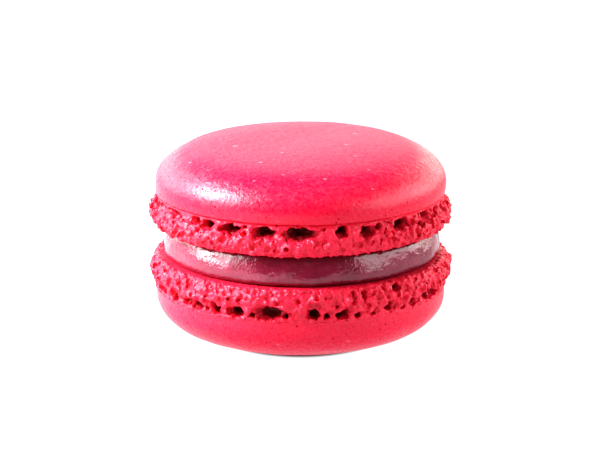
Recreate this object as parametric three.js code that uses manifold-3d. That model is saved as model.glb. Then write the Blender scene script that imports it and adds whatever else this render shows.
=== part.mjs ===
// A French macaron: two almond meringue shells with ruffled feet, holding a disc of ganache.
// Millimetres, +Z up. The origin is the centre of the flat spot that the lower shell rests on.
// An azimuth runs round the Z axis from the front (-Y) towards +X, in degrees.
import * as THREE from "three";
import { mergeVertices } from "three/addons/utils/BufferGeometryUtils.js";
import Module from "manifold-3d";

const wasm = await Module();
wasm.setup();

// ---- Driving dimensions ----
const CAP_RADIUS = 21.75; // the smooth cap at its widest
const CAP_WIDEST_ABOVE_COLLAR = 1.1; // the cap's sides lean in below this level
const FOOT_RADIUS = 22.5; // the foot at its widest, before its crags
const NECK_RADIUS = 21.45; // where the foot slips under the cap
const GANACHE_RADIUS = 20.7; // the ganache at the middle of its bulge
const GANACHE_THICKNESS = 4.67;
const GANACHE_BULGE = 1.3; // how far it bulges past its contact with the shells
const REST_RADIUS = 8; // the flat spot under the lower shell

// What differs between the two shells. Heights are measured from a shell's flat face to its crown.
// Each cave on the front is [azimuth, width, height]: a burst bubble between the skin and the foot.
const UPPER = {
  height: 12.78,
  collar: 4.84,
  faceRadius: 21.4,
  bulgeAt: 0.4, // share of the way from the flat face to the collar
  roundness: 3.2,
  crown: { radius: 7.6, drop: 0.07 },
  seed: 11,
  turn: 1, // its azimuths run with the macaron's
  frontCaves: [
    [-55, 2.0, 1.2],
    [-43, 1.9, 1.3],
    [-37.5, 1.5, 1.3],
    [-28, 3.4, 1.3],
    [-13.5, 3.1, 1.8],
    [-0.5, 4.7, 1.8],
    [8.5, 0.9, 0.7],
    [15.5, 2.5, 1.6],
    [26, 2.3, 2.0],
    [32, 1.2, 1.5],
    [41.5, 4.2, 1.5],
    [53, 1.4, 0.9],
    [59, 2.3, 1.6],
  ],
};
const LOWER = {
  height: 13.03,
  collar: 4.93,
  faceRadius: 21.6,
  bulgeAt: 0.46,
  roundness: 3.1,
  crown: { radius: REST_RADIUS, drop: 0 },
  seed: 29,
  turn: -1, // it lies upside down, so its azimuths run against the macaron's
  frontCaves: [
    [-57, 1.5, 1.0],
    [-50, 1.7, 1.1],
    [-43, 2.5, 1.3],
    [-34, 1.6, 1.3],
    [-25, 2.3, 1.5],
    [-18.5, 1.0, 0.8],
    [-10, 4.9, 1.8],
    [4, 2.3, 1.6],
    [10.5, 1.0, 0.9],
    [15.5, 1.9, 1.2],
    [21, 1.5, 0.9],
    [36, 1.9, 1.4],
    [49, 2.1, 1.3],
    [60, 2.6, 1.8],
  ],
};

const CAVE_BELOW_COLLAR = 1.15; // from the collar down to the middle of the row of caves
const MOUTH_RADIUS = 22.1; // the foot at the mouths of the caves
const LOBE_WIDTH = 2.6; // a wide cave is a run of bubbles about this wide
const CAVE_DEPTH = 1.3;
const FRONT_END = 64; // the drawn caves fill the rest of the ring, past this azimuth on both sides
const PORE_COUNT = 10; // smaller burst bubbles, lower on the foot
const CRUMB_COUNT = 12; // lumps that stand out of it

// Sides of the turned bodies
const FOOT_SEGMENTS = 90;
const CAP_SEGMENTS = 56;
const GANACHE_SEGMENTS = 64;

// ---- Helpers ----

// Repeatable numbers from 0 up to 1.
function seededDraw(seed) {
  let state = seed;
  return () => {
    state = (state * 1664525 + 1013904223) % 4294967296;
    return state / 4294967296;
  };
}

// A closed geometry as a solid that can be joined and cut.
function solidOf(geometry) {
  const bare = new THREE.BufferGeometry();
  const flat = geometry.index ? geometry.toNonIndexed() : geometry;
  bare.setAttribute("position", flat.getAttribute("position"));
  const merged = mergeVertices(bare, 1e-4);
  const triVerts = [];
  for (let i = 0; i < merged.index.count; i += 3) {
    const [a, b, c] = merged.index.array.subarray(i, i + 3);
    if (a !== b && b !== c && c !== a) triVerts.push(a, b, c);
  }
  return new wasm.Manifold(
    new wasm.Mesh({
      numProp: 3,
      vertProperties: merged.attributes.position.array,
      triVerts: new Uint32Array(triVerts),
    }),
  );
}

function geometryOf(solid) {
  const mesh = solid.getMesh();
  const geometry = new THREE.BufferGeometry();
  geometry.setAttribute("position", new THREE.BufferAttribute(mesh.vertProperties, 3));
  geometry.setIndex(new THREE.BufferAttribute(mesh.triVerts, 1));
  const faceted = geometry.toNonIndexed();
  faceted.computeVertexNormals();
  return faceted;
}

// Turns a profile of [radius, height] points round the Z axis.
function turned(profile, segments) {
  const points = profile.map(([radius, height]) => new THREE.Vector2(radius, height));
  return new THREE.LatheGeometry(points, segments).rotateX(Math.PI / 2);
}

// Moves every vertex in or out by push(azimuth in radians, height), which fades to nothing at the axis.
function pushedOut(geometry, push, fadeRadius) {
  const position = geometry.getAttribute("position");
  for (let i = 0; i < position.count; i++) {
    const x = position.getX(i);
    const y = position.getY(i);
    const radius = Math.hypot(x, y);
    if (radius < fadeRadius) continue;
    const grown = 1 + push(Math.atan2(x, -y), position.getZ(i)) / radius;
    position.setXY(i, x * grown, y * grown);
  }
  return geometry;
}

// Uneven waves round a ring: a sum of sines, longest and tallest first.
function unevenness(draw, count, fewest, most, height) {
  const waves = Array.from({ length: count }, (_, i) => ({
    turns: Math.round(fewest + ((most - fewest) * (i + draw())) / count),
    lean: (draw() - 0.5) * 3,
    phase: draw() * 2 * Math.PI,
    height: height / Math.sqrt(i + 1),
  }));
  return (azimuth, level) =>
    waves.reduce((sum, w) => sum + w.height * Math.sin(w.turns * azimuth + w.lean * level + w.phase), 0);
}

// A bubble or a crumb: a ball stretched to width, depth and height, at an azimuth in degrees.
// Its pole points out of the foot, and it has as many sides as given.
function ball(azimuth, radius, level, width, depth, height, sides) {
  return solidOf(
    new THREE.SphereGeometry(1, sides, 4)
      .scale(width / 2, depth / 2, height / 2)
      .translate(0, -radius, level)
      .rotateZ(THREE.MathUtils.degToRad(azimuth)),
  );
}

// ---- One shell, flat face at z = 0 and crown up ----

// The foot's mean outline, from the edge of the flat face up to where it slips under the cap.
function footOutline({ collar, faceRadius, bulgeAt }) {
  const between = (from, share) => from + share * (FOOT_RADIUS - from);
  return new THREE.SplineCurve([
    new THREE.Vector2(faceRadius, 0.12),
    new THREE.Vector2(between(faceRadius, 0.68), 0.36 * bulgeAt * collar),
    new THREE.Vector2(FOOT_RADIUS, bulgeAt * collar),
    new THREE.Vector2(between(NECK_RADIUS, 0.58), (bulgeAt + 0.28) * collar),
    new THREE.Vector2(NECK_RADIUS, 0.96 * collar),
  ]);
}

function footSolid(shell, draw) {
  const outline = footOutline(shell).getPoints(5);
  const profile = [
    [0, 0],
    [shell.faceRadius - 0.25, 0],
    ...outline.map((p) => [p.x, p.y]),
    [NECK_RADIUS - 0.7, shell.collar + 0.25],
    [0, shell.collar + 0.25],
  ];
  const crags = unevenness(draw, 7, 7, 44, 0.11);
  const amount = (level) => Math.sin((Math.PI * Math.min(level, shell.collar)) / shell.collar) ** 0.6;
  const inFoot = (level) => level > 0.05 && level < shell.collar;
  const push = (azimuth, level) => (inFoot(level) ? crags(azimuth, level) * amount(level) : 0);
  return solidOf(pushedOut(turned(profile, FOOT_SEGMENTS), push, NECK_RADIUS - 0.2));
}

// The smooth cap: a lip that leans in to the collar, then a flattened dome.
function capSolid(shell) {
  const widest = shell.collar + CAP_WIDEST_ABOVE_COLLAR;
  const rise = shell.height - widest;
  const dome = [];
  for (const share of [0, 0.15, 0.3, 0.45, 0.6, 0.75]) {
    const angle = (share * Math.PI) / 2;
    const radius = CAP_RADIUS * Math.cos(angle) ** (2 / shell.roundness);
    dome.push([radius, widest + rise * Math.sin(angle) ** (2 / 2.16)]);
  }
  const profile = [
    [0, shell.collar - 0.6],
    [CAP_RADIUS - 1.2, shell.collar - 0.6],
    [CAP_RADIUS - 0.4, shell.collar - 0.15],
    [CAP_RADIUS - 0.18, shell.collar + 0.25],
    ...dome,
    [shell.crown.radius, shell.height - shell.crown.drop],
    [0, shell.height],
  ];
  return solidOf(turned(profile, CAP_SEGMENTS));
}

// The row of caves under the collar: those on the front, then drawn ones round the back.
function caveRow(shell, draw) {
  const caves = [...shell.frontCaves];
  let azimuth = FRONT_END;
  while (azimuth < 360 - FRONT_END) {
    const width = 1.3 + 3 * draw() ** 1.5;
    const half = THREE.MathUtils.radToDeg(width / 2 / CAP_RADIUS);
    azimuth += half;
    caves.push([azimuth, width, 1 + 0.8 * draw()]);
    azimuth += half + 4.2 + 4.5 * draw();
  }
  return caves;
}

function caveBubbles(shell, draw) {
  const bubbles = [];
  for (const [azimuth, width, height] of caveRow(shell, draw)) {
    const lobes = Math.ceil(width / LOBE_WIDTH);
    const lobe = width / lobes;
    for (let i = 0; i < lobes; i++) {
      const along = THREE.MathUtils.radToDeg(((i - (lobes - 1) / 2) * lobe) / CAP_RADIUS);
      const level = shell.collar - CAVE_BELOW_COLLAR + 0.3 * (draw() - 0.5);
      const tall = height * (0.85 + 0.3 * draw());
      const depth = 2 * Math.min(CAVE_DEPTH, 0.4 + 0.6 * lobe);
      const sides = lobe < 1.6 ? 6 : 7;
      const turnedTo = shell.turn * (azimuth + along);
      bubbles.push(ball(turnedTo, MOUTH_RADIUS, level, 1.2 * lobe, depth, tall, sides));
    }
  }
  return bubbles;
}

// Balls scattered over the lower part of the foot: crumbs to be joined on or pores to be cut.
function scattered(shell, draw, count, width, depth, sunk) {
  return Array.from({ length: count }, (_, i) => {
    const azimuth = ((i + 0.8 * draw()) * 360) / count;
    const level = (0.16 + 0.36 * draw()) * shell.collar;
    const size = 0.75 + 0.5 * draw();
    return ball(azimuth, FOOT_RADIUS - sunk, level, width * size, depth, 0.75 * width * size, 6);
  });
}

function shellSolid(shell) {
  const draw = seededDraw(shell.seed);
  let solid = footSolid(shell, draw).add(capSolid(shell));
  for (const crumb of scattered(shell, draw, CRUMB_COUNT, 1.7, 1, 0.3)) solid = solid.add(crumb);
  for (const bubble of caveBubbles(shell, draw)) solid = solid.subtract(bubble);
  for (const pore of scattered(shell, draw, PORE_COUNT, 0.9, 0.9, 0.1)) solid = solid.subtract(pore);
  return solid;
}

// ---- The ganache, lower face at z = 0 ----

function ganacheGeometry() {
  const contact = GANACHE_RADIUS - GANACHE_BULGE;
  const bulge = [];
  for (const share of [-1, -0.88, -0.5, 0, 0.5, 0.88, 1]) {
    const out = Math.sqrt(1 - Math.abs(share) ** 2.4);
    bulge.push([contact + GANACHE_BULGE * out, (GANACHE_THICKNESS * (1 + share)) / 2]);
  }
  const profile = [[0, 0], ...bulge, [0, GANACHE_THICKNESS]];
  const squeeze = unevenness(seededDraw(5), 4, 3, 19, 0.06);
  return pushedOut(turned(profile, GANACHE_SEGMENTS), squeeze, contact - 0.1);
}

// ---- The macaron ----

function piece(name, geometry, color, roughness) {
  const material = new THREE.MeshStandardMaterial({ color, roughness, metalness: 0 });
  const mesh = new THREE.Mesh(geometry, material);
  mesh.name = name;
  return mesh;
}

const upperShell = piece("upper_shell", geometryOf(shellSolid(UPPER)), 0xee2f58, 0.45);
upperShell.position.z = LOWER.height + GANACHE_THICKNESS;

const ganache = piece("ganache", ganacheGeometry(), 0x6d1a30, 0.2);
ganache.position.z = LOWER.height;

// The lower shell is turned over about Y, so its own azimuths run the other way round.
const lowerShell = piece("lower_shell", geometryOf(shellSolid(LOWER)), 0xee2f58, 0.45);
lowerShell.rotation.y = Math.PI;
lowerShell.position.z = LOWER.height;

const macaron = new THREE.Group();
macaron.add(lowerShell, ganache, upperShell);

export default macaron;
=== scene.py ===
# %% [markdown]
# # A French macaron
# A macaron is two shells of almond meringue with a filling between them. Each shell has a smooth,
# satin cap and, below a thin crease, a "foot": the ruffled collar where the batter rose and tore.
# Each piece is modelled in millimetres in a frame of its own and moved into place, in metres, at
# the end. That keeps the sizes readable, and it keeps the remesher away from tiny numbers.

# %% Load the solids that the dressed pieces stand for
import math
from types import SimpleNamespace

import bmesh
import bpy
from mathutils import Matrix, Vector, noise


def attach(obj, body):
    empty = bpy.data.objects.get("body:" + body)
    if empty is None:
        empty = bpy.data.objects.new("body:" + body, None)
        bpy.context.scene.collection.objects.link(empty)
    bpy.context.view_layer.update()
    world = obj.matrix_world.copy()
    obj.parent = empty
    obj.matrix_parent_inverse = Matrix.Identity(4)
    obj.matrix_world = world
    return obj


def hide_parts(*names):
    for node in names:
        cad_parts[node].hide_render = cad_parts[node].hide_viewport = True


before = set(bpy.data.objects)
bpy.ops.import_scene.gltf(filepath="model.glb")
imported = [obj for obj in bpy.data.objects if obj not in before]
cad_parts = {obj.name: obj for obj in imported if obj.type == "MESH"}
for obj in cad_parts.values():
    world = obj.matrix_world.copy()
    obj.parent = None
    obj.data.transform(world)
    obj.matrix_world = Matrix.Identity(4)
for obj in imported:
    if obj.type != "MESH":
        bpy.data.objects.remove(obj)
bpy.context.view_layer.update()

# %% Sizes of the macaron, in millimetres
CAP_RADIUS = 21.75
CAP_WIDEST_ABOVE_COLLAR = 1.1
FOOT_RADIUS = 22.4
MOUTH_RADIUS = 22.1
GANACHE_RADIUS = 20.7
GANACHE_THICKNESS = 4.67
GANACHE_BULGE = 1.3
LOWER_HEIGHT = 13.03
UPPER_HEIGHT = 12.78
print("overall height:", round(LOWER_HEIGHT + GANACHE_THICKNESS + UPPER_HEIGHT, 2), "mm")

# %% [markdown]
# ## The two shells
# Heights in a shell run from its flat face, which touches the ganache, to its crown. The caves are
# the large bubbles that burst just under the skin, each (azimuth, width, height), and the holes are
# single bubbles nearer the flat face, each (azimuth, width, height, level). An azimuth runs round
# the macaron from the front towards the right, in degrees. The lower shell lies upside down, so its
# own azimuths run the other way, which its turn of -1 says.

# %% What differs between the shells
UPPER = dict(
    height=UPPER_HEIGHT, collar=4.84, face_radius=21.4, neck_radius=21.5, bulge_at=0.4,
    roundness=3.1, lip=0.42, crease=0.25, flattened=0.0, seed=11, turn=1, open_cells=150,
    caves=[
        (-55.5, 2.0, 1.1), (-43.9, 1.5, 1.2), (-38.7, 1.8, 1.4), (-28.0, 3.2, 1.4),
        (-21.5, 0.8, 0.6), (-13.8, 3.0, 1.7), (-0.3, 4.7, 1.8), (9.0, 0.8, 0.5),
        (16.0, 2.0, 1.4), (26.3, 2.0, 1.7), (31.5, 0.9, 1.1), (35.6, 0.9, 0.5),
        (42.3, 3.1, 1.5), (53.2, 1.3, 0.9), (57.9, 2.0, 1.5),
    ],
    holes=[(53.0, 1.5, 1.0, 2.8), (20.0, 0.6, 0.6, 1.6), (-8.0, 0.7, 0.5, 1.0)],
)
LOWER = dict(
    height=LOWER_HEIGHT, collar=4.93, face_radius=21.6, neck_radius=21.78, bulge_at=0.46,
    roundness=2.95, lip=-0.15, crease=0.02, flattened=0.15, seed=29, turn=-1, open_cells=300,
    caves=[
        (-57.8, 1.6, 1.1), (-50.5, 1.8, 1.2), (-43.3, 2.3, 1.3), (-38.0, 0.8, 0.7),
        (-34.1, 1.6, 1.4), (-25.2, 2.2, 1.5), (-18.9, 1.0, 0.9), (-11.5, 3.7, 1.9),
        (-5.6, 1.0, 0.8), (5.3, 1.6, 1.6), (10.3, 1.0, 1.0), (15.8, 2.0, 1.3),
        (22.4, 1.1, 0.8), (29.0, 0.8, 0.5), (43.2, 1.0, 0.8), (48.8, 1.9, 1.3),
        (60.3, 2.7, 1.8),
    ],
    holes=[
        (36.2, 1.7, 1.4, 3.5), (20.5, 0.8, 1.2, 1.0), (24.8, 1.0, 1.6, 1.1), (33.2, 0.7, 0.8, 0.8),
        (39.2, 1.8, 1.0, 1.0),
    ],
)
print("caves in front:", len(UPPER["caves"]), "above and", len(LOWER["caves"]), "below")

# %% [markdown]
# ## Repeatable chance
# Bubbles fall at random, but the macaron should come out the same each time. A small generator
# with a stated seed gives the draws, so every run bakes the same batch.

# %% A seeded draw from 0 up to 1
def seeded_draw(seed):
    state = seed

    def draw():
        nonlocal state
        state = (state * 1664525 + 1013904223) % 4294967296
        return state / 4294967296

    return draw


trial = seeded_draw(1)
print("first draws:", [round(trial(), 3) for _ in range(3)])

# %% A soft step from 0 to 1
def eased(share):
    share = min(1, max(0, share))
    return share * share * (3 - 2 * share)


print("a quarter of the way gives", eased(0.25))

# %% Uneven waves round a ring, longest and tallest first
def unevenness(draw, count, fewest, most, height):
    waves = []
    for i in range(count):
        turns = round(fewest + (most - fewest) * (i + draw()) / count)
        lean = (draw() - 0.5) * 3
        phase = draw() * 2 * math.pi
        waves.append((turns, lean, phase, height / math.sqrt(i + 1)))
    return lambda azimuth, level: sum(
        tall * math.sin(turns * azimuth + lean * level + phase) for turns, lean, phase, tall in waves
    )


# %% [markdown]
# ## Helpers for solid modelling
# A foot full of bubbles is easiest to get the way the oven does it: take a full ring and take the
# bubbles out. Booleans do the cutting, and a voxel remesh melts the sharp rims like wet batter.

# %% Make an object from a bmesh, and bake its modifiers
def made(name, bm):
    mesh = bpy.data.meshes.new(name)
    bm.to_mesh(mesh)
    bm.free()
    obj = bpy.data.objects.new(name, mesh)
    bpy.context.scene.collection.objects.link(obj)
    return obj


def baked(obj):
    depsgraph = bpy.context.evaluated_depsgraph_get()
    mesh = bpy.data.meshes.new_from_object(obj.evaluated_get(depsgraph))
    obj.modifiers.clear()
    obj.data = mesh
    return obj


# %% Melt, thin, soften and combine
def remeshed(obj, voxel):
    step = obj.modifiers.new("melt", "REMESH")
    step.mode = "VOXEL"
    step.voxel_size = voxel
    return baked(obj)


def thinned(obj, share):
    step = obj.modifiers.new("thin", "DECIMATE")
    step.ratio = share
    return baked(obj)


def softened(obj, times):
    step = obj.modifiers.new("soften", "SMOOTH")
    step.factor, step.iterations = 0.5, times
    return baked(obj)


def combined(obj, other, operation):
    step = obj.modifiers.new("cut", "BOOLEAN")
    step.operation = operation
    step.solver = "MANIFOLD"
    step.object = other
    baked(obj)
    bpy.data.objects.remove(other)
    return obj


# %% Spin a profile of (radius, height) points round the upright axis
def turned(profile, steps):
    bm = bmesh.new()
    verts = [bm.verts.new((radius, 0, level)) for radius, level in profile]
    edges = [bm.edges.new(pair) for pair in zip(verts, verts[1:])]
    bmesh.ops.spin(
        bm, geom=verts + edges, axis=(0, 0, 1), cent=(0, 0, 0), angle=2 * math.pi,
        steps=steps, use_merge=True,
    )
    bmesh.ops.remove_doubles(bm, verts=bm.verts, dist=1e-4)
    bmesh.ops.recalc_face_normals(bm, faces=bm.faces)
    return bm


# %% Where a ball stretched to width, depth and height stands on a ring
def ball_place(azimuth, radius, level, width, depth, height):
    return (
        Matrix.Rotation(math.radians(azimuth), 4, "Z")
        @ Matrix.Translation((0, -radius, level))
        @ Matrix.Diagonal((width / 2, depth / 2, height / 2, 1))
    )


# %% Add a ball at each place
def add_balls(bm, places, divisions):
    start = bmesh.new()
    bmesh.ops.create_icosphere(start, subdivisions=divisions, radius=1)
    ball = bpy.data.meshes.new("ball")
    start.to_mesh(ball)
    start.free()
    for place in places:
        copy = ball.copy()
        copy.transform(place)
        bm.from_mesh(copy)
        bpy.data.meshes.remove(copy)
    bpy.data.meshes.remove(ball)


# %% [markdown]
# ## The outline of a foot
# Six points set where the foot bulges, and a smooth curve runs through them. The same rule makes
# both shells, with the bulge of the lower one sitting nearer its collar.

# %% A smooth curve through a few points
def smooth_through(points, steps_between):
    ends = [points[0], *points, points[-1]]
    curve = []
    for a, b, c, d in zip(ends, ends[1:], ends[2:], ends[3:]):
        for i in range(steps_between):
            t = i / steps_between
            curve.append(tuple(
                0.5 * (2 * q + (r - p) * t + (2 * p - 5 * q + 4 * r - s) * t**2
                       + (3 * q - p - 3 * r + s) * t**3)
                for p, q, r, s in zip(a, b, c, d)
            ))
    return [*curve, points[-1]]


# %% The outer side of the foot, from the flat face up to the crease under the cap
def foot_outline(shell):
    face, neck = shell["face_radius"], shell["neck_radius"]
    collar, bulge = shell["collar"], shell["bulge_at"]
    return smooth_through([
        (face, 0.12),
        (face + 0.68 * (FOOT_RADIUS - face), 0.36 * bulge * collar),
        (FOOT_RADIUS, bulge * collar),
        (neck + 0.36 * (FOOT_RADIUS - neck), (bulge + 0.28) * collar),
        (neck + 0.08, 0.93 * collar),
        (neck - shell["crease"], collar + 0.02),
    ], 5)


print("points down the side of a foot:", len(foot_outline(UPPER)))

# %% The ring of batter that the bubbles are cut from
RING_INSIDE = 17.4
CORE_RADIUS = 18.0
RING_STEPS = 240


def foot_ring(shell, draw):
    profile = [
        (RING_INSIDE, 0.03), (shell["face_radius"] - 0.25, 0.03), *foot_outline(shell),
        (shell["neck_radius"] - 0.9, shell["collar"] + 0.25), (RING_INSIDE, shell["collar"] + 0.25),
        (RING_INSIDE, 0.03),
    ]
    bm = turned(profile, RING_STEPS)
    crags = unevenness(draw, count=7, fewest=7, most=44, height=0.09)
    for v in bm.verts:
        radius, level = math.hypot(v.co.x, v.co.y), v.co.z
        if radius > shell["neck_radius"] - 0.3 and 0.05 < level < shell["collar"]:
            azimuth = math.atan2(v.co.x, -v.co.y)
            grown = 1 + crags(azimuth, level) * math.sin(math.pi * level / shell["collar"]) ** 0.6 / radius
            v.co.x *= grown
            v.co.y *= grown
    return bm


# %% [markdown]
# ## Bubbles and crumbs
# Three sizes of bubble make a foot: the caves in a row under the skin, middling holes over the
# whole side, and a dusting of pores towards the flat face. Crumbs, the dry lumps between them, are
# little balls joined on before the bubbles are cut.

# %% The caves: those in front as listed, the rest drawn at the same spacing
FRONT_END = 64


def cave_list(shell, draw):
    caves = list(shell["caves"])
    azimuth = FRONT_END
    while azimuth < 360 - FRONT_END:
        width = 1.0 + 3 * draw() ** 1.5
        half = math.degrees(width / 2 / CAP_RADIUS)
        azimuth += half
        caves.append((azimuth, width, 0.9 + 0.9 * draw()))
        azimuth += half + 1.5 + 3.5 * draw()
    return caves


print("caves all round:", len(cave_list(UPPER, seeded_draw(1))))

# %% Each cave: one large ball, with smaller ones round its rim to make it ragged
def cave_places(shell, draw):
    places = []
    for azimuth, width, height in cave_list(shell, draw):
        level = shell["collar"] - 0.4 - (0.5 + 0.15 * (draw() - 0.5)) * height
        deep = min(1.5 + 0.9 * height, 3.1) * (0.85 + 0.3 * draw())
        places.append(ball_place(
            shell["turn"] * azimuth, MOUTH_RADIUS + 0.1, level, width, 2 * deep, height,
        ))
        for _ in range(round(2.5 * width)):
            round_rim = 2 * math.pi * draw()
            along = math.degrees(0.44 * width * math.cos(round_rim) / CAP_RADIUS)
            size = height * (0.35 + 0.35 * draw())
            places.append(ball_place(
                shell["turn"] * (azimuth + along), MOUTH_RADIUS, level + 0.4 * height * math.sin(round_rim),
                size * (1.1 + 0.7 * draw()), 0.9 * deep, size,
            ))
    return places


# %% Single large holes below the caves
def hole_places(shell):
    return [
        ball_place(shell["turn"] * azimuth, side_radius(shell, level), level, width, 2.4 * width, height)
        for azimuth, width, height, level in shell["holes"]
    ]


# %% Smaller bubbles and crumbs, scattered over the side
def side_radius(shell, level):
    outline = foot_outline(shell)
    for (r0, z0), (r1, z1) in zip(outline, outline[1:]):
        if z0 <= level <= z1:
            return r0 + (r1 - r0) * (level - z0) / (z1 - z0)
    return FOOT_RADIUS


def scattered(shell, draw, count, low, high, smallest, largest, proud):
    places = []
    for _ in range(count):
        level = low + (high - low) * draw()
        size = smallest + (largest - smallest) * draw() ** 2
        radius = side_radius(shell, level) + proud * size
        places.append(ball_place(
            360 * draw(), radius, level, size * (0.8 + 0.5 * draw()), size * (0.9 + 0.5 * draw()),
            size * (0.8 + 0.5 * draw()),
        ))
    return places


# %% [markdown]
# ## The crumb itself
# Tearing leaves more than round bubbles. The rim of the flat face is pricked with pores, the edge
# of the lip is ragged, and the crumb between the bubbles is lumpy at about a millimetre. Moving
# each point of the ring along its normal gives the lumps: voronoi cells make round knobs and pits.

# %% Fine pores on the outer rim of the flat face
RIM_PORES = 330
RIM_WIDTH = 0.9


def rim_pores(shell, draw):
    places = []
    for _ in range(RIM_PORES):
        size = 0.3 + 0.25 * draw()
        radius = shell["face_radius"] - RIM_WIDTH * draw()
        places.append(ball_place(360 * draw(), radius, 0.02, size, size, 0.8 * size))
    return places


# %% How torn a point of the side is: not at all on the lip under the crease, whose edge is ragged
def tornness(shell, point, fade):
    ragged = 0.3 * noise.noise(point / 0.8) + 0.25 * noise.noise(point / 2.5)
    return eased((shell["collar"] - shell["lip"] + ragged - point.z) / fade + 0.5)


# %% Roughen the torn side: round knobs at two sizes, and small pits in some cells
KNOB_REACH = 0.62
PIT_REACH = 0.34


def knob(point, size):
    near = noise.voronoi(point / size)[0][0]
    return max(0, 1 - (near / KNOB_REACH) ** 2)


def pit(point, size):
    distances, cells = noise.voronoi(point / size)
    chosen = noise.cell(cells[0] * 7.3)
    return max(0, 1 - (distances[0] / PIT_REACH) ** 2) if chosen > 0.2 else 0


# %% How far out on the rim of the flat face a point lies
def rim_share(shell, radius):
    return eased((radius - shell["face_radius"] + RIM_WIDTH) / 0.4)


# %% Roughen a whole ring
def crumbled(ring, shell):
    bm = bmesh.new()
    bm.from_mesh(ring.data)
    bm.normal_update()
    moves = []
    for v in bm.verts:
        radius, level = math.hypot(v.co.x, v.co.y), v.co.z
        torn = tornness(shell, v.co, 0.25) if radius > 21.3 else 1
        if radius < CORE_RADIUS + 0.2 or torn == 0:
            moves.append(0)
            continue
        push = 0.24 * knob(v.co, 1.05) + 0.1 * knob(v.co, 0.5) - 0.34 * pit(v.co, 0.9) - 0.12
        moves.append(torn * max(0.8 * rim_share(shell, radius), eased(level / 0.3)) * push)
    for v, push in zip(bm.verts, moves):
        v.co += v.normal * push
    bm.to_mesh(ring.data)
    bm.free()
    return ring


# %% [markdown]
# ## Baking a foot
# The order matters: crumbs are joined to the ring first, then the bubbles are cut, then one more
# remesh and a light smoothing melt the cut rims, and the lumps come last, as they need fine mesh.
# A cell of 0.13 mm keeps pores of a third of a millimetre, and thinning keeps the piece light.

# %% The ring with its crumbs, given as count, levels, sizes and how far they stand proud
VOXEL = 0.13


def crumbed_ring(shell, draw):
    bm = foot_ring(shell, draw)
    for count, low, high, smallest, largest, proud in (
        (330, 1.3, shell["collar"] - 1.1, 0.8, 1.6, -0.26),
        (360, 0.5, 1.7, 0.45, 0.8, -0.3),
        (300, 0.14, 0.6, 0.3, 0.6, -0.2),
    ):
        add_balls(bm, scattered(shell, draw, count, low, high, smallest, largest, proud), 2)
    return remeshed(made("foot", bm), VOXEL)


# %% All the bubbles of a foot, from the caves down to the pores, the last with the fewest faces
BUBBLE_VOXEL = 0.11


def foot_bubbles(shell, draw):
    holes = bmesh.new()
    add_balls(holes, cave_places(shell, draw) + hole_places(shell), 3)
    for count, low, high, smallest, largest, proud, divisions in (
        (shell["open_cells"], 1.0, shell["collar"] - 0.9, 0.55, 1.3, 0.02, 2),
        (900, 0.35, shell["collar"] - 0.6, 0.34, 0.6, 0.0, 1),
        (650, 0.12, 0.8, 0.34, 0.62, 0.0, 1),
    ):
        add_balls(holes, scattered(shell, draw, count, low, high, smallest, largest, proud), divisions)
    add_balls(holes, rim_pores(shell, draw), 1)
    return remeshed(made("bubbles", holes), BUBBLE_VOXEL)


# %% Bake one foot
SHARE_KEPT = 0.45


def foot(shell):
    draw = seeded_draw(shell["seed"])
    ring = crumbed_ring(shell, draw)
    bubbles = foot_bubbles(shell, draw)
    print("ring", len(ring.data.polygons), "bubbles", len(bubbles.data.polygons))
    combined(ring, bubbles, "DIFFERENCE")
    ring = softened(remeshed(ring, VOXEL), times=3)
    print("foot with bubbles", len(ring.data.polygons))
    return thinned(crumbled(ring, shell), SHARE_KEPT)


# %% [markdown]
# ## The cap
# The cap is thin skin over a flattened dome. A superellipse gives that shape: rounder than a plain
# ellipse at the shoulder and flatter on top. Below its widest line it tucks in to the crease.

# %% The profile of cap and core, from the flat face to the crown
DOME_POINTS = 44
CROWN_ROUNDNESS = 2.16


def cap_profile(shell):
    collar, height, neck, crease = (shell[key] for key in ("collar", "height", "neck_radius", "crease"))
    widest = collar + CAP_WIDEST_ABOVE_COLLAR
    rise = height + shell["flattened"] - widest
    tuck = [
        (0, 0), (CORE_RADIUS, 0), (CORE_RADIUS, collar - 0.9), (neck - 0.6, collar - 0.3),
        (neck - 0.5 * crease, collar), (CAP_RADIUS - 0.55 * crease, collar + 0.06),
        (CAP_RADIUS - 0.2 * crease, collar + 0.15), (CAP_RADIUS - 0.02, collar + 0.4),
    ]
    dome = []
    for i in range(DOME_POINTS):
        angle = (i / DOME_POINTS) ** 1.15 * math.pi / 2
        radius = CAP_RADIUS * math.cos(angle) ** (2 / shell["roundness"])
        level = widest + rise * math.sin(angle) ** (2 / CROWN_ROUNDNESS)
        dome.append((radius, min(height, level)))
    return tuck + dome + [(0, height)]


print("the cap is", round(max(radius for radius, _ in cap_profile(UPPER)) * 2, 1), "mm across")

# %% Turn the cap and let it sway a little, as piped batter does
CAP_STEPS = 256


def cap(shell):
    bm = turned(cap_profile(shell), CAP_STEPS)
    sway = Vector((3.1, 1.7, shell["seed"]))
    for v in bm.verts:
        rise = eased((v.co.z - shell["collar"]) / 1.5)
        steady = eased((shell["height"] - v.co.z) / 0.5) if shell["flattened"] else 1
        push = 0.16 * noise.noise(v.co / 9 + sway) + 0.05 * noise.noise(v.co / 3.2 + sway)
        v.co += v.co.normalized() * push * rise * steady
    return made("cap", bm)


# %% [markdown]
# ## Marks for the finish
# One baked piece has three kinds of surface: satin skin, torn crumb, and the inside of a cave, painted dark
# as shade.
# Each point of the mesh is marked with how torn it is, how deep it lies under the foot's outline
# and how near it is to the crown. The marks ride along in the mesh, so the finish can read them.

# %% Mark how torn, how deep and how high each point is, from 0 to 1
DEEPEST = 1.9


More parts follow.
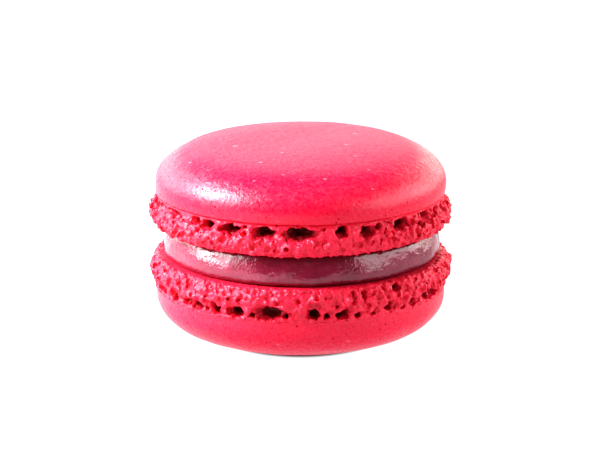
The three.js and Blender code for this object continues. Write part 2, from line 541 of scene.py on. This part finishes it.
def mark(mesh, shell):
    collar, height = shell["collar"], shell["height"]
    marks = {name: [] for name in ("foot", "torn", "deep", "crown")}
    for v in mesh.vertices:
        radius, level = math.hypot(v.co.x, v.co.y), v.co.z
        in_foot = level < collar + 0.35 and radius > CORE_RADIUS - 0.5
        depth = side_radius(shell, max(0.12, level)) - radius if in_foot and 0.05 < level < collar else 0
        marks["foot"].append(1 if in_foot and level < collar + 0.05 else 0)
        bare = max(rim_share(shell, radius), eased((level - 0.06) / 0.1))
        marks["torn"].append(tornness(shell, v.co, 0.3) * bare if in_foot else 0)
        marks["deep"].append(eased((depth - 0.15) / DEEPEST))
        marks["crown"].append(eased((level - collar) / (height - collar)))
    for name, values in marks.items():
        mesh.attributes.new(name, "FLOAT", "POINT").data.foreach_set("value", values)


# %% Join foot and cap, and move the shell into place
def shell_piece(name, shell, place):
    piece = combined(cap(shell), foot(shell), "UNION")
    mark(piece.data, shell)
    piece.name = name
    piece.data.transform(place @ Matrix.Scale(0.001, 4))
    piece.data.name = name
    print(name, "triangles:", sum(len(p.vertices) - 2 for p in piece.data.polygons))
    return piece


LIFT = Matrix.Translation((0, 0, (LOWER_HEIGHT + GANACHE_THICKNESS) / 1000))
TURN_OVER = Matrix.Translation((0, 0, LOWER_HEIGHT / 1000)) @ Matrix.Rotation(math.pi, 4, "Y")
upper = shell_piece("upper_meringue", UPPER, LIFT)
lower = shell_piece("lower_meringue", LOWER, TURN_OVER)

# %% [markdown]
# ## The ganache
# Ganache is chocolate melted into cream. It is piped on while it is soft, and the upper shell
# presses it out, so the disc is widest below its middle, slopes in above and tucks in under itself.
# A turned profile gives that shape. The side is then pushed in and out a little, because a squeezed
# filling is never quite round, and noise adds the soft folds left by the piping.

# %% The side of the disc, from the lower shell up to the upper one
WIDEST_SHARE = 0.31
SIDE_RINGS = 60
SIDE_STEPS = 720


def ganache_side():
    side = []
    for i in range(SIDE_RINGS + 1):
        share = (1 - math.cos(math.pi * i / SIDE_RINGS)) / 2
        reach = share - WIDEST_SHARE
        reach /= WIDEST_SHARE if reach < 0 else 1 - WIDEST_SHARE
        if reach < 0:
            inwards = 0.6 * (1 - math.sqrt(max(0, 1 - abs(reach) ** 3)))
        else:
            inwards = 0.62 * reach**1.55 + 0.38 * reach**14
        side.append((GANACHE_RADIUS - GANACHE_BULGE * inwards, GANACHE_THICKNESS * share))
    return side


print("the side slopes in by", round(GANACHE_RADIUS - ganache_side()[-1][0], 2), "mm")

# %% Turn the disc of ganache, and wrinkle its side
def ganache_piece():
    inner = GANACHE_RADIUS - GANACHE_BULGE - 1
    below = [(0, 0), (inner, 0)]
    above = [(inner, GANACHE_THICKNESS), (0, GANACHE_THICKNESS)]
    bm = turned([*below, *ganache_side(), *above], SIDE_STEPS)
    squeeze = unevenness(seeded_draw(5), count=4, fewest=3, most=19, height=0.06)
    for v in bm.verts:
        radius = math.hypot(v.co.x, v.co.y)
        if radius > inner + 0.9:
            flat = Vector((v.co.x, v.co.y, 2.4 * v.co.z))
            push = squeeze(math.atan2(v.co.x, -v.co.y), v.co.z) + 0.07 * noise.noise(v.co * 0.35)
            push += 0.03 * noise.noise(flat * 0.6) + 0.014 * noise.noise(flat * 1.5)
            v.co.x *= 1 + push / radius
            v.co.y *= 1 + push / radius
    bmesh.ops.translate(bm, verts=bm.verts, vec=(0.2, 0, LOWER_HEIGHT))
    bmesh.ops.scale(bm, verts=bm.verts, vec=(0.001, 0.001, 0.001))
    return made("ganache_disc", bm)


filling = ganache_piece()
print("ganache faces:", len(filling.data.polygons))

# %% [markdown]
# ## Finishes
# Meringue skin is satin and slightly dimpled, with pinholes where the last air left it. The torn
# foot shows bare crumb, and sugar syrup makes its knobs glint. One finish covers the whole shell
# and blends these by the marks in the mesh, because the real shell is one batter too. All patterns
# are procedural and read object coordinates, which are metres: a scale of 1000 repeats every mm.

# %% Add a shader node, with values or links for its inputs
def node(tree, kind, inputs=(), **settings):
    new = tree.nodes.new("ShaderNode" + kind)
    for name, value in settings.items():
        setattr(new, name, value)
    for socket, value in dict(inputs).items():
        if isinstance(value, bpy.types.NodeSocket):
            tree.links.new(value, new.inputs[socket])
        else:
            new.inputs[socket].default_value = value
    return new


# %% Sums and steps of node outputs
def math_of(tree, operation, *values):
    return node(tree, "Math", dict(enumerate(values)), operation=operation).outputs[0]


def step_of(tree, value, low, high, to_low=0.0, to_high=1.0):
    return node(
        tree, "MapRange", {"Value": value, 1: low, 2: high, 3: to_low, 4: to_high},
        interpolation_type="SMOOTHSTEP",
    ).outputs[0]


# %% Blends of two colours or two values, and height above the floor
def colour_mix(tree, share, first, second):
    mix = node(tree, "Mix", data_type="RGBA")
    for socket, value in ((mix.inputs[0], share), (mix.inputs[6], first), (mix.inputs[7], second)):
        if isinstance(value, bpy.types.NodeSocket):
            tree.links.new(value, socket)
        else:
            socket.default_value = (*value, 1) if isinstance(value, tuple) else value
    return mix.outputs[2]


def value_mix(tree, share, first, second):
    mix = node(tree, "Mix", {0: share, 2: first, 3: second}, data_type="FLOAT")
    return mix.outputs[0]


def height_of(tree, coords):
    return node(tree, "SeparateXYZ", {0: coords}).outputs["Z"]


# %% Patterns: noise from 0 to 1, and scattered round dots
def noise_of(tree, coords, scale, detail=2, roughness=0.5):
    inputs = {"Vector": coords, "Scale": scale, "Detail": detail, "Roughness": roughness}
    return node(tree, "TexNoise", inputs).outputs["Fac"]


def dots_of(tree, coords, spacing, radius, share):
    cells = node(tree, "TexVoronoi", {"Vector": coords, "Scale": 1 / spacing})
    drawn = node(tree, "SeparateColor", {0: cells.outputs["Color"]})
    chosen = math_of(tree, "LESS_THAN", drawn.outputs[0], share)
    reach = math_of(tree, "DIVIDE", cells.outputs["Distance"], value_mix(tree, drawn.outputs[1], 0.5, 1.0))
    dot = step_of(tree, reach, 0.4 * radius / spacing, radius / spacing, 1.0, 0.0)
    return math_of(tree, "MULTIPLY", dot, chosen)


# %% Start a finish: its tree, its shader and the object coordinates
def new_finish(name, roughness, specular):
    material = bpy.data.materials.new(name)
    material.use_nodes = True
    tree = material.node_tree
    shader = tree.nodes["Principled BSDF"]
    shader.inputs["Roughness"].default_value = roughness
    shader.inputs["Specular IOR Level"].default_value = specular
    return material, tree, shader, node(tree, "TexCoord").outputs["Object"]


def finish_surface(tree, shader, colour, roughness, height_mm):
    bump = node(tree, "Bump", {"Height": height_mm, "Distance": 0.001})
    tree.links.new(colour, shader.inputs["Base Color"])
    tree.links.new(roughness, shader.inputs["Roughness"])
    tree.links.new(bump.outputs[0], shader.inputs["Normal"])


# %% [markdown]
# ## The patterns of a shell
# Noise suits what fades in and out, such as the grain of ground almond. Dots suit what is there or
# not: pinholes low on the cap, pale raised flecks high on it, pores in the crumb. Colour and relief
# share these patterns, so that a pinhole or a pore is painted dark, as shade, just where it is deep.

# %% Read the marks of the mesh
def meringue_marks(tree):
    names = ("foot", "torn", "deep", "crown")
    return SimpleNamespace(**{
        name: node(tree, "Attribute", attribute_name=name).outputs["Fac"] for name in names
    })


# %% Draw the patterns, with spacings and radii of dots in metres
PINHOLES = dict(spacing=0.00075, radius=0.00018, share=0.85)
FLECKS = dict(spacing=0.0015, radius=0.00025, share=0.5)
PORES = dict(spacing=0.0005, radius=0.00017, share=0.45)
FLECK_STRETCH = (0.45, 1, 1)


def meringue_patterns(tree, coords, marks):
    low_down = step_of(tree, marks.crown, 0.5, 0.8, 1, 0)
    popped = math_of(tree, "MULTIPLY", low_down, step_of(tree, noise_of(tree, coords, 170, 1), 0.27, 0.4))
    long_coords = node(tree, "Mapping", {"Vector": coords, "Scale": FLECK_STRETCH}).outputs[0]
    high_up = step_of(tree, marks.crown, 0.2, 0.6, 0.1, 0.6)
    return SimpleNamespace(
        broad=noise_of(tree, coords, 260, detail=1),
        dimples=noise_of(tree, coords, 850, detail=2),
        grain=noise_of(tree, coords, 1700, detail=3, roughness=0.6),
        powder=noise_of(tree, coords, 3300, detail=3, roughness=0.65),
        fine=noise_of(tree, coords, 3600, detail=2, roughness=0.6),
        pinholes=math_of(tree, "MULTIPLY", dots_of(tree, coords, **PINHOLES), popped),
        flecks=math_of(tree, "MULTIPLY", dots_of(tree, long_coords, **FLECKS), high_up),
        pores=dots_of(tree, coords, **PORES),
    )


# %% [markdown]
# ## The colours of a shell
# Food colouring looks deepest where the skin is smooth. Towards the crown a dust of dried sugar
# pales it, and on the very top the skin is painted paler still, a painted gleam of the bright wall
# behind. The torn crumb is paler too, and its pores and caves are painted darker, as painted shade
# where light reaches only by way of red walls. Linear colours of this red have next to no green in them.

# %% The skin: deep red, paler towards the crown, dusted, flecked, with a painted gleam on top and painted shade in its pinholes
SKIN_SIDE = (0.79, 0.004, 0.052)
SKIN_CROWN = (0.79, 0.007, 0.078)
SKIN_TOP_PAINTED_GLEAM = (0.82, 0.07, 0.13)
SUGAR = (0.88, 0.22, 0.29)
SKIN_DARK = (0.6, 0.003, 0.03)
PINHOLE_PAINTED_SHADE = (0.45, 0.003, 0.025)
FLECK = (0.95, 0.5, 0.58)


def skin_colour(tree, marks, seen):
    skin = colour_mix(tree, marks.crown, SKIN_SIDE, SKIN_CROWN)
    skin = colour_mix(tree, step_of(tree, seen.broad, 0.3, 0.7, 0.0, 0.25), skin, SKIN_CROWN)
    # Painted reflection: the very top of the crown is painted paler, standing in for the gleam of the
    # bright wall behind, which the dull crown hardly mirrors.
    skin = colour_mix(tree, step_of(tree, marks.crown, 0.8, 1.0), skin, SKIN_TOP_PAINTED_GLEAM)
    dusted = step_of(tree, marks.crown, 0.1, 0.5, 0.4, 1.0)
    dust = step_of(tree, seen.powder, 0.5, 0.72, 0.0, 0.3)
    skin = colour_mix(tree, math_of(tree, "MULTIPLY", dust, dusted), skin, SUGAR)
    blotches = step_of(tree, seen.grain, 0.42, 0.7, 0.0, 0.13)
    skin = colour_mix(tree, math_of(tree, "MULTIPLY", blotches, dusted), skin, SUGAR)
    skin = colour_mix(tree, step_of(tree, seen.powder, 0.3, 0.48, 0.55, 0.0), skin, SKIN_DARK)
    skin = colour_mix(tree, seen.flecks, skin, FLECK)
    # Painted shade: pinholes are darkened in colour, standing in for the shade inside these tiny hollows.
    return colour_mix(tree, math_of(tree, "MULTIPLY", seen.pinholes, 0.7), skin, PINHOLE_PAINTED_SHADE)


# %% The torn crumb: pale knobs, with painted shade in its pores and caves
CRUMB = (0.82, 0.018, 0.07)
CRUMB_PALE = (0.86, 0.05, 0.11)
PORE_PAINTED_SHADE = (0.6, 0.01, 0.035)
CAVE_PAINTED_SHADE = (0.25, 0.02, 0.03)


def crumb_colour(tree, marks, seen):
    crumb = colour_mix(tree, step_of(tree, seen.grain, 0.35, 0.75, 0.0, 0.4), CRUMB, CRUMB_PALE)
    # Painted shade: pores are darkened in colour for the shade in them.
    crumb = colour_mix(tree, math_of(tree, "MULTIPLY", seen.pores, 0.5), crumb, PORE_PAINTED_SHADE)
    # Painted shade: the deeper a point lies in a cave, the darker it is painted, standing in for the shade
    # inside.
    return colour_mix(tree, marks.deep, crumb, CAVE_PAINTED_SHADE)


# %% [markdown]
# ## The gloss and relief of a shell
# The side of a cap shines like satin, and its crown is duller, because sugar dust settles there.
# Untorn foot is dull, and torn crumb glints, as its knobs are sticky. Pinholes hardly shine at all.
# The relief is far too fine to model, so a bump node bends the light by heights in millimetres.

# %% How rough the surface is
CROWN_ROUGHNESS = 0.55
UNTORN_ROUGHNESS = 0.65


def meringue_roughness(tree, marks, seen):
    satin = step_of(tree, seen.grain, 0.3, 0.7, 0.25, 0.36)
    satin = value_mix(tree, step_of(tree, marks.crown, 0.75, 1.0), satin, CROWN_ROUGHNESS)
    untorn = value_mix(tree, marks.foot, satin, UNTORN_ROUGHNESS)
    return value_mix(tree, marks.torn, untorn, step_of(tree, seen.fine, 0.3, 0.7, 0.28, 0.52))


# %% How strongly it mirrors
SIDE_SHEEN = 0.56
CROWN_SHEEN = 0.16
CRUMB_SHEEN = 0.5


def meringue_sheen(tree, coords, marks, seen):
    satin = step_of(tree, marks.crown, 0.6, 0.92, SIDE_SHEEN, CROWN_SHEEN)
    satin = math_of(tree, "MULTIPLY", satin, step_of(tree, seen.pinholes, 0.0, 0.6, 1.0, 0.1))
    shaded_below = step_of(tree, height_of(tree, coords), 0.003, 0.008, 0.45, 1.0)
    return value_mix(tree, marks.torn, math_of(tree, "MULTIPLY", satin, shaded_below), CRUMB_SHEEN)


# %% The relief: how high each pattern stands, in millimetres
SKIN_RELIEF = dict(grain=0.07, fine=0.03, pinholes=-0.1, flecks=0.08)
CRUMB_RELIEF = dict(grain=0.1, fine=0.09, pores=-0.07)


def piled_up(tree, seen, relief):
    total = 0.0
    for pattern, height in relief.items():
        total = math_of(tree, "MULTIPLY_ADD", getattr(seen, pattern), height, total)
    return total


def meringue_relief(tree, marks, seen):
    dimple_height = step_of(tree, marks.crown, 0.4, 0.8, 0.02, 0.15)
    skin = math_of(tree, "MULTIPLY_ADD", seen.dimples, dimple_height, piled_up(tree, seen, SKIN_RELIEF))
    return value_mix(tree, marks.torn, skin, piled_up(tree, seen, CRUMB_RELIEF))


# %% Put the finish of a shell together
def meringue():
    material, tree, shader, coords = new_finish("meringue_finish", 0.32, 0.5)
    marks = meringue_marks(tree)
    seen = meringue_patterns(tree, coords, marks)
    colour = colour_mix(tree, marks.torn, skin_colour(tree, marks, seen), crumb_colour(tree, marks, seen))
    sheen = meringue_sheen(tree, coords, marks, seen)
    tree.links.new(sheen, shader.inputs["Specular IOR Level"])
    roughness = meringue_roughness(tree, marks, seen)
    finish_surface(tree, shader, colour, roughness, meringue_relief(tree, marks, seen))
    return material


shell_finish = meringue()
print("nodes in the finish of a shell:", len(shell_finish.node_tree.nodes))

# %% [markdown]
# ## The finish of the ganache
# Cocoa butter sets to a gloss, so this finish is smooth enough to mirror a window, and its fine
# ripples break that mirror image up. Its colour is clouded, and it is painted darker towards both
# shells, as painted shade in the creases where it meets them.

# %% Ganache: clouded dark purple red, glossy and rippled
GANACHE_BASE = (0.26, 0.02, 0.06)
GANACHE_DARK_TONE_AND_SHADE = (0.13, 0.006, 0.02)
GANACHE_MIDDLE = (LOWER_HEIGHT + 0.47 * GANACHE_THICKNESS) / 1000


def ganache_finish():
    material, tree, shader, coords = new_finish("ganache_finish", 0.18, 0.9)
    clouds = noise_of(tree, coords, 350, detail=3)
    wrinkles = noise_of(tree, coords, 1000)
    fine = noise_of(tree, coords, 2300)
    off_middle = math_of(tree, "SUBTRACT", height_of(tree, coords), GANACHE_MIDDLE)
    # Painted shade: the colour darkens towards both shells, standing in for the shade in the creases where
    # they meet; the clouds use the same dark colour as real tone.
    edge = step_of(tree, math_of(tree, "ABSOLUTE", off_middle), 0.0009, 0.0021)
    mottle = math_of(tree, "MULTIPLY", step_of(tree, clouds, 0.35, 0.65), 0.45)
    colour = colour_mix(tree, math_of(tree, "MAXIMUM", edge, mottle), GANACHE_BASE, GANACHE_DARK_TONE_AND_SHADE)
    height = math_of(tree, "MULTIPLY", wrinkles, 0.065)
    height = math_of(tree, "MULTIPLY_ADD", fine, 0.055, height)
    finish_surface(tree, shader, colour, step_of(tree, fine, 0.3, 0.7, 0.11, 0.22), height)
    return material


filling_finish = ganache_finish()
print("nodes in the finish of the ganache:", len(filling_finish.node_tree.nodes))

# %% [markdown]
# ## Putting the pieces in place
# Each dressed piece wears its finish, hangs from the body that carries it and hides the solid it
# stands for. A macaron has no joints, so one body, the root, carries all three.

# %% Put each piece in the place of its solid
for piece, solid, slot_name, material in (
    (upper, "upper_shell", "meringue", shell_finish),
    (lower, "lower_shell", "meringue", shell_finish),
    (filling, "ganache", "ganache", filling_finish),
):
    piece.data.materials.clear()
    piece.data.materials.append(material)
    for polygon in piece.data.polygons:
        polygon.use_smooth = True
    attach(piece, "root")
    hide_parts(solid)
    print(piece.name, "stands for", solid)

# %% [markdown]
# ## The floor
# Sweets are often shot on a light table, a white sheet lit from below, which leaves next to no
# shadow and lights the underside of the lower shell. Here the floor glows, with a painted pool of
# window light on the window side, a painted shadow just under the macaron, where the shell would
# shade it, and a dimmer glow far off to either side. It lies a hair under the solids, so that it
# never fights with the flat spot for the same place.

# %% A pale floor that glows, with a painted shadow under the macaron and painted window light
FLOOR_GAP = 0.00002
SHADED_RADIUS = 0.0115
LIT_RADIUS = 0.0132
FLOOR_GLOW = 0.72
WINDOW_SIDE_GAIN = 2.0
FAR_SHARE = 0.4


def light_table():
    material, tree, shader, coords = new_finish("light_table", 0.7, 0.05)
    shader.inputs["Base Color"].default_value = (0.06, 0.06, 0.06, 1)
    shader.inputs["Emission Color"].default_value = (1, 1, 1, 1)
    off_centre = node(tree, "VectorMath", {0: coords}, operation="LENGTH").outputs["Value"]
    across = node(tree, "SeparateXYZ", {0: coords}).outputs["X"]
    sideways = math_of(tree, "ABSOLUTE", across)
    glow = step_of(tree, off_centre, SHADED_RADIUS, LIT_RADIUS, 0.0, FLOOR_GLOW)
    glow = math_of(tree, "MULTIPLY", glow, step_of(tree, across, -0.045, 0.0, WINDOW_SIDE_GAIN, 1.0))
    glow = math_of(tree, "MULTIPLY", glow, step_of(tree, sideways, 0.1, 0.16, 1.0, FAR_SHARE))
    tree.links.new(glow, shader.inputs["Emission Strength"])
    return material


bm = bmesh.new()
bmesh.ops.create_grid(bm, x_segments=1, y_segments=1, size=4)
bmesh.ops.translate(bm, verts=bm.verts, vec=(0, 0, -FLOOR_GAP))
floor = made("floor", bm)
floor.data.materials.append(light_table())
print("floor at", -FLOOR_GAP, "m")

# %% [markdown]
# ## The lights
# A large soft window on the left gives the broad satin highlight on both caps, with a brighter
# core for its middle, and a white panel on the right keeps that side from going dull. Each softbox
# is given by where it stands in the sky and how large it looks from the macaron, in degrees,
# because that is what decides the shape of a highlight. Its power follows from its size. Two small
# ones light only the ganache, through a collection of receivers: low light that glints in a
# glossy filling would skim the crowns and bleach them when they are seen from the other side.

# %% A softbox that faces the macaron from 60 cm away
SOFTBOX_AWAY = 0.6


def softbox(name, azimuth, elevation, wide, tall, radiance):
    light = bpy.data.lights.new(name, "AREA")
    light.shape = "RECTANGLE"
    light.size = 2 * SOFTBOX_AWAY * math.tan(math.radians(wide / 2))
    light.size_y = 2 * SOFTBOX_AWAY * math.tan(math.radians(tall / 2))
    light.energy = radiance * 4 * light.size * light.size_y
    obj = bpy.data.objects.new(name, light)
    a, e = math.radians(azimuth), math.radians(elevation)
    back = Vector((math.sin(a) * math.cos(e), -math.cos(a) * math.cos(e), math.sin(e)))
    obj.location = Vector((0, 0, 0.015)) + back * SOFTBOX_AWAY
    obj.rotation_euler = back.to_track_quat("Z", "Y").to_euler()
    bpy.context.scene.collection.objects.link(obj)
    print(name, "gives", round(light.energy, 2), "W")
    return obj


# %% The window and the panels: azimuth, elevation, how wide and how tall they look, radiance
for setting in (
    ("window", -96, 24, 76, 60, 1.6),
    ("window core", -83, 38, 23, 24, 17.5),
    ("window fringe", -84, 36, 40, 36, 2.2),
    ("window edge", -60, 24, 22, 44, 1.8),
    ("right panel", 84, 20, 70, 40, 2.0),
    ("ceiling", 0, 74, 56, 56, 0.15),
):
    softbox(*setting)

# %% Two softboxes that light only the ganache
only_ganache = bpy.data.collections.new("lit by the low window")
only_ganache.objects.link(filling)
for glint in (
    softbox("window low", -85, 10, 24, 14, 8),
    softbox("window core on the ganache", -83, 38, 23, 24, 3.5),
):
    glint.light_linking.receiver_collection = only_ganache

# %% [markdown]
# ## The backdrop
# The world stands in for a white wall behind the macaron. It is bright near the horizon at the
# back, which gives the far side of the crown its pale gleam, and nearly dark in front and above,
# so that the front keeps its deep red.

# %% A wall of light at the back that fades upwards
WALL_GLOW = 2.35
ROOM_GLOW = 0.08
DAYLIGHT = (1, 0.97, 0.88, 1)

world = bpy.data.worlds.new("studio")
bpy.context.scene.world = world
world.use_nodes = True
sky = world.node_tree
way = node(sky, "SeparateXYZ", {0: node(sky, "TexCoord").outputs["Generated"]}).outputs
behind = step_of(sky, way["Y"], 0.0, 0.75)
low_wall = step_of(sky, way["Z"], 0.02, 0.9, WALL_GLOW, 0.1)
strength = math_of(sky, "MULTIPLY_ADD", behind, low_wall, ROOM_GLOW)
sky.nodes["Background"].inputs["Color"].default_value = DAYLIGHT
sky.links.new(strength, sky.nodes["Background"].inputs["Strength"])
print("nodes in the sky:", len(sky.nodes))

# %% [markdown]
# ## The camera
# A long lens from 40 cm looks slightly down on the macaron, so both feet and the side of the ganache
# show. The high contrast look keeps the reds deep while the lights stay bright.

# %% Camera
TILT = math.radians(15.4)
AWAY = 0.4
MIDDLE = Vector((0, 0, 0.01524))
LENS_MM = 159.5
SENSOR_MM = 36
SHIFT = (-0.4 / 600, 1.5 / 600)

camera = bpy.data.objects.new("camera", bpy.data.cameras.new("camera"))
bpy.context.scene.collection.objects.link(camera)
bpy.context.scene.camera = camera
camera.data.lens = LENS_MM
camera.data.sensor_width = SENSOR_MM
camera.data.shift_x, camera.data.shift_y = SHIFT
camera.data.clip_start, camera.data.clip_end = 0.01, 10
to_camera = Vector((0, -math.cos(TILT), math.sin(TILT)))
camera.location = MIDDLE + AWAY * to_camera
camera.rotation_euler = to_camera.to_track_quat("Z", "Y").to_euler()
bpy.context.scene.view_settings.view_transform = "Standard"
bpy.context.scene.view_settings.look = "High Contrast"
print("camera at", [round(v, 3) for v in camera.location])
